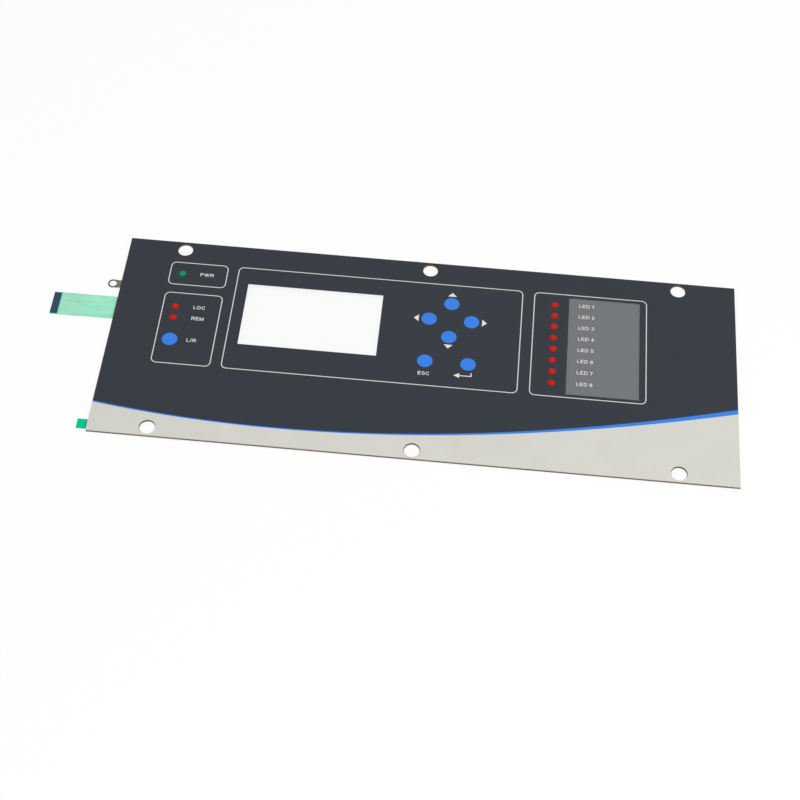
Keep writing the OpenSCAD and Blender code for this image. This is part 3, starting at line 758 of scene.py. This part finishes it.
class KEYPAD_OT_signs(bpy.types.Operator):
    """Print the arrows of the keys and the sign of the enter key"""

    bl_idname = "keypad.signs"
    bl_label = "Signs"

    def execute(self, context):
        legends = context.scene.keypad_legends
        radius = key_radius()
        ways = {"up": (0, 1), "down": (0, -1), "left": (-1, 0), "right": (1, 0)}
        for name, (x, y) in ways.items():
            way = Vector((x, y, 0.0))
            side = Vector((-y, x, 0.0))
            key = centre_of("dome_" + name)
            gap = legends.side_arrow_gap if x else legends.arrow_gap
            base = key + way * (radius + gap)
            outline = [
                base + way * legends.arrow_length,
                base + side * legends.arrow_half,
                base - side * legends.arrow_half,
            ]
            self.sign("sign_" + name, outline)
        self.sign("sign_enter", self.enter_outline(legends))
        return {"FINISHED"}

    def enter_outline(self, legends):
        """The bent arrow, counter-clockwise from its tip."""
        key = centre_of("dome_enter")
        half = legends.enter_stroke / 2
        tip = key.x - legends.enter_left
        neck = tip + legends.enter_head
        stem = key.x + legends.enter_right
        axis = key.y - legends.enter_drop
        head = legends.enter_half
        top = axis + legends.enter_rise
        corners = [
            (tip, axis), (neck, axis - head), (neck, axis - half), (stem + half, axis - half),
            (stem + half, top), (stem - half, top), (stem - half, axis + half), (neck, axis + half),
            (neck, axis + head),
        ]
        return [Vector((x, y, 0.0)) for x, y in corners]

    def sign(self, name, outline):
        """A sign from its outline on the front."""
        front = front_level()
        shape = bmesh.new()
        shape.faces.new([shape.verts.new((corner.x, corner.y, front)) for corner in outline])
        print_piece(name, shape)


class KEYPAD_OT_stage(bpy.types.Operator):
    """Make the floor, the light and the camera"""

    bl_idname = "keypad.stage"
    bl_label = "Stage"

    def execute(self, context):
        scene = context.scene
        scene.view_settings.view_transform = "Standard"
        self.floor(scene.keypad_stage)
        self.surround(scene)
        self.lights(scene.keypad_stage)
        self.camera(scene)
        return {"FINISHED"}

    def seen_directly(self, tree):
        """1 where the camera, a reflection or a clear film sees a surface, 0 where it only gives light."""
        path = tree.nodes.new("ShaderNodeLightPath")
        total = path.outputs["Is Camera Ray"]
        for name in ("Is Glossy Ray", "Is Transmission Ray"):
            adder = tree.nodes.new("ShaderNodeMath")
            adder.operation = "ADD"
            adder.use_clamp = True
            tree.links.new(total, adder.inputs[0])
            tree.links.new(path.outputs[name], adder.inputs[1])
            total = adder.outputs[0]
        return total

    def floor(self, stage):
        """A wide pale floor that keeps the part's soft shadow."""
        half = stage.floor_half
        mesh = bpy.data.meshes.new("floor")
        corners = [(-half, -half), (half, -half), (half, half), (-half, half)]
        mesh.from_pydata([(x, y, -stage.floor_drop) for x, y in corners], [], [(0, 1, 2, 3)])
        material = bpy.data.materials.new("floor_paint")
        material.use_nodes = True
        tree = material.node_tree
        matte = tree.nodes["Principled BSDF"]
        matte.inputs["Base Color"].default_value = (*stage.floor, 1.0)
        matte.inputs["Roughness"].default_value = stage.floor_roughness
        matte.inputs["Specular IOR Level"].default_value = stage.floor_shine
        white = tree.nodes.new("ShaderNodeEmission")
        mixer = tree.nodes.new("ShaderNodeMixShader")
        share = tree.nodes.new("ShaderNodeMath")
        share.operation = "MULTIPLY"
        share.inputs[1].default_value = stage.floor_white
        tree.links.new(self.seen_directly(tree), share.inputs[0])
        tree.links.new(share.outputs[0], mixer.inputs["Fac"])
        tree.links.new(matte.outputs[0], mixer.inputs[1])
        tree.links.new(white.outputs[0], mixer.inputs[2])
        tree.links.new(mixer.outputs[0], tree.nodes["Material Output"].inputs["Surface"])
        mesh.materials.append(material)
        floor = bpy.data.objects.new("floor", mesh)
        bpy.context.scene.collection.objects.link(floor)

    def surround(self, scene):
        """A white surround, plain white where it is seen and dimmer where it lights the part."""
        world = bpy.data.worlds.new("surround")
        world.use_nodes = True
        tree = world.node_tree
        tree.nodes.clear()
        lit = tree.nodes.new("ShaderNodeBackground")
        lit.inputs["Strength"].default_value = scene.keypad_stage.sky
        seen = tree.nodes.new("ShaderNodeBackground")
        for background in (lit, seen):
            background.inputs["Color"].default_value = (1.0, 1.0, 1.0, 1.0)
        mixer = tree.nodes.new("ShaderNodeMixShader")
        tree.links.new(self.seen_directly(tree), mixer.inputs["Fac"])
        tree.links.new(lit.outputs[0], mixer.inputs[1])
        tree.links.new(seen.outputs[0], mixer.inputs[2])
        output = tree.nodes.new("ShaderNodeOutputWorld")
        tree.links.new(mixer.outputs[0], output.inputs["Surface"])
        scene.world = world

    def lights(self, stage):
        """A soft key light in front, above the camera, and a weaker fill from behind the right side."""
        lights = (
            ("key_light", Vector(stage.key_place), stage.key_power),
            ("fill_light", Vector(stage.fill_place), stage.fill_power),
        )
        for name, place, power in lights:
            light = bpy.data.lights.new(name, "AREA")
            light.shape = "SQUARE"
            light.size = stage.lamp_side
            light.energy = power
            lamp = bpy.data.objects.new(name, light)
            lamp.location = place
            lamp.rotation_mode = "QUATERNION"
            lamp.rotation_quaternion = (-place).to_track_quat("-Z", "Y")
            bpy.context.scene.collection.objects.link(lamp)

    def camera(self, scene):
        """The camera, by where it looks, how far off it stands and its angles."""
        stage = scene.keypad_stage
        data = bpy.data.cameras.new("camera")
        data.lens = stage.lens
        data.sensor_width = stage.sensor
        data.clip_start = stage.near
        camera = bpy.data.objects.new("camera", data)
        out = math.cos(stage.elevation)
        back = Vector((
            math.sin(stage.azimuth) * out,
            -math.cos(stage.azimuth) * out,
            math.sin(stage.elevation),
        ))
        camera.location = Vector((stage.aim_x, stage.aim_y, front_level())) + back * stage.distance
        camera.rotation_mode = "QUATERNION"
        turn = Quaternion((0.0, 0.0, 1.0), stage.roll)
        camera.rotation_quaternion = (-back).to_track_quat("-Z", "Y") @ turn
        scene.collection.objects.link(camera)
        scene.camera = camera


class KEYPAD_PT_panel(bpy.types.Panel):
    """Lists the steps of the keypad and the sizes and colours that they use"""

    bl_label = "Membrane Keypad"
    bl_idname = "KEYPAD_PT_panel"
    bl_space_type = "VIEW_3D"
    bl_region_type = "UI"
    bl_category = "Keypad"

    def draw(self, context):
        for step in STEPS:
            self.layout.operator(step.bl_idname)
        for group in SETTINGS:
            settings = getattr(context.scene, group)
            box = self.layout.box()
            for name in settings.bl_rna.properties.keys():
                if name not in ("rna_type", "name"):
                    box.prop(settings, name)


SETTINGS = {
    "keypad_inks": KeypadInks,
    "keypad_films": KeypadFilms,
    "keypad_legends": KeypadLegends,
    "keypad_stage": KeypadStage,
}
STEPS = (
    KEYPAD_OT_overlay,
    KEYPAD_OT_indicators,
    KEYPAD_OT_label,
    KEYPAD_OT_laminate,
    KEYPAD_OT_tail,
    KEYPAD_OT_lug,
    KEYPAD_OT_liner,
    KEYPAD_OT_words,
    KEYPAD_OT_signs,
    KEYPAD_OT_stage,
)


def register():
    for group in (*SETTINGS.values(), *STEPS, KEYPAD_PT_panel):
        bpy.utils.register_class(group)
    for name, group in SETTINGS.items():
        setattr(bpy.types.Scene, name, PointerProperty(type=group))


def unregister():
    for name in SETTINGS:
        delattr(bpy.types.Scene, name)
    for group in (KEYPAD_PT_panel, *reversed(STEPS), *reversed(SETTINGS.values())):
        bpy.utils.unregister_class(group)


def main():
    """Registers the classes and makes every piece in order."""
    register()
    bpy.ops.keypad.stage()
    bpy.ops.keypad.overlay()
    bpy.ops.keypad.indicators()
    bpy.ops.keypad.label()
    bpy.ops.keypad.laminate()
    bpy.ops.keypad.tail()
    bpy.ops.keypad.lug()
    bpy.ops.keypad.liner()
    bpy.ops.keypad.words()
    bpy.ops.keypad.signs()


if __name__ == "__main__":
    main()
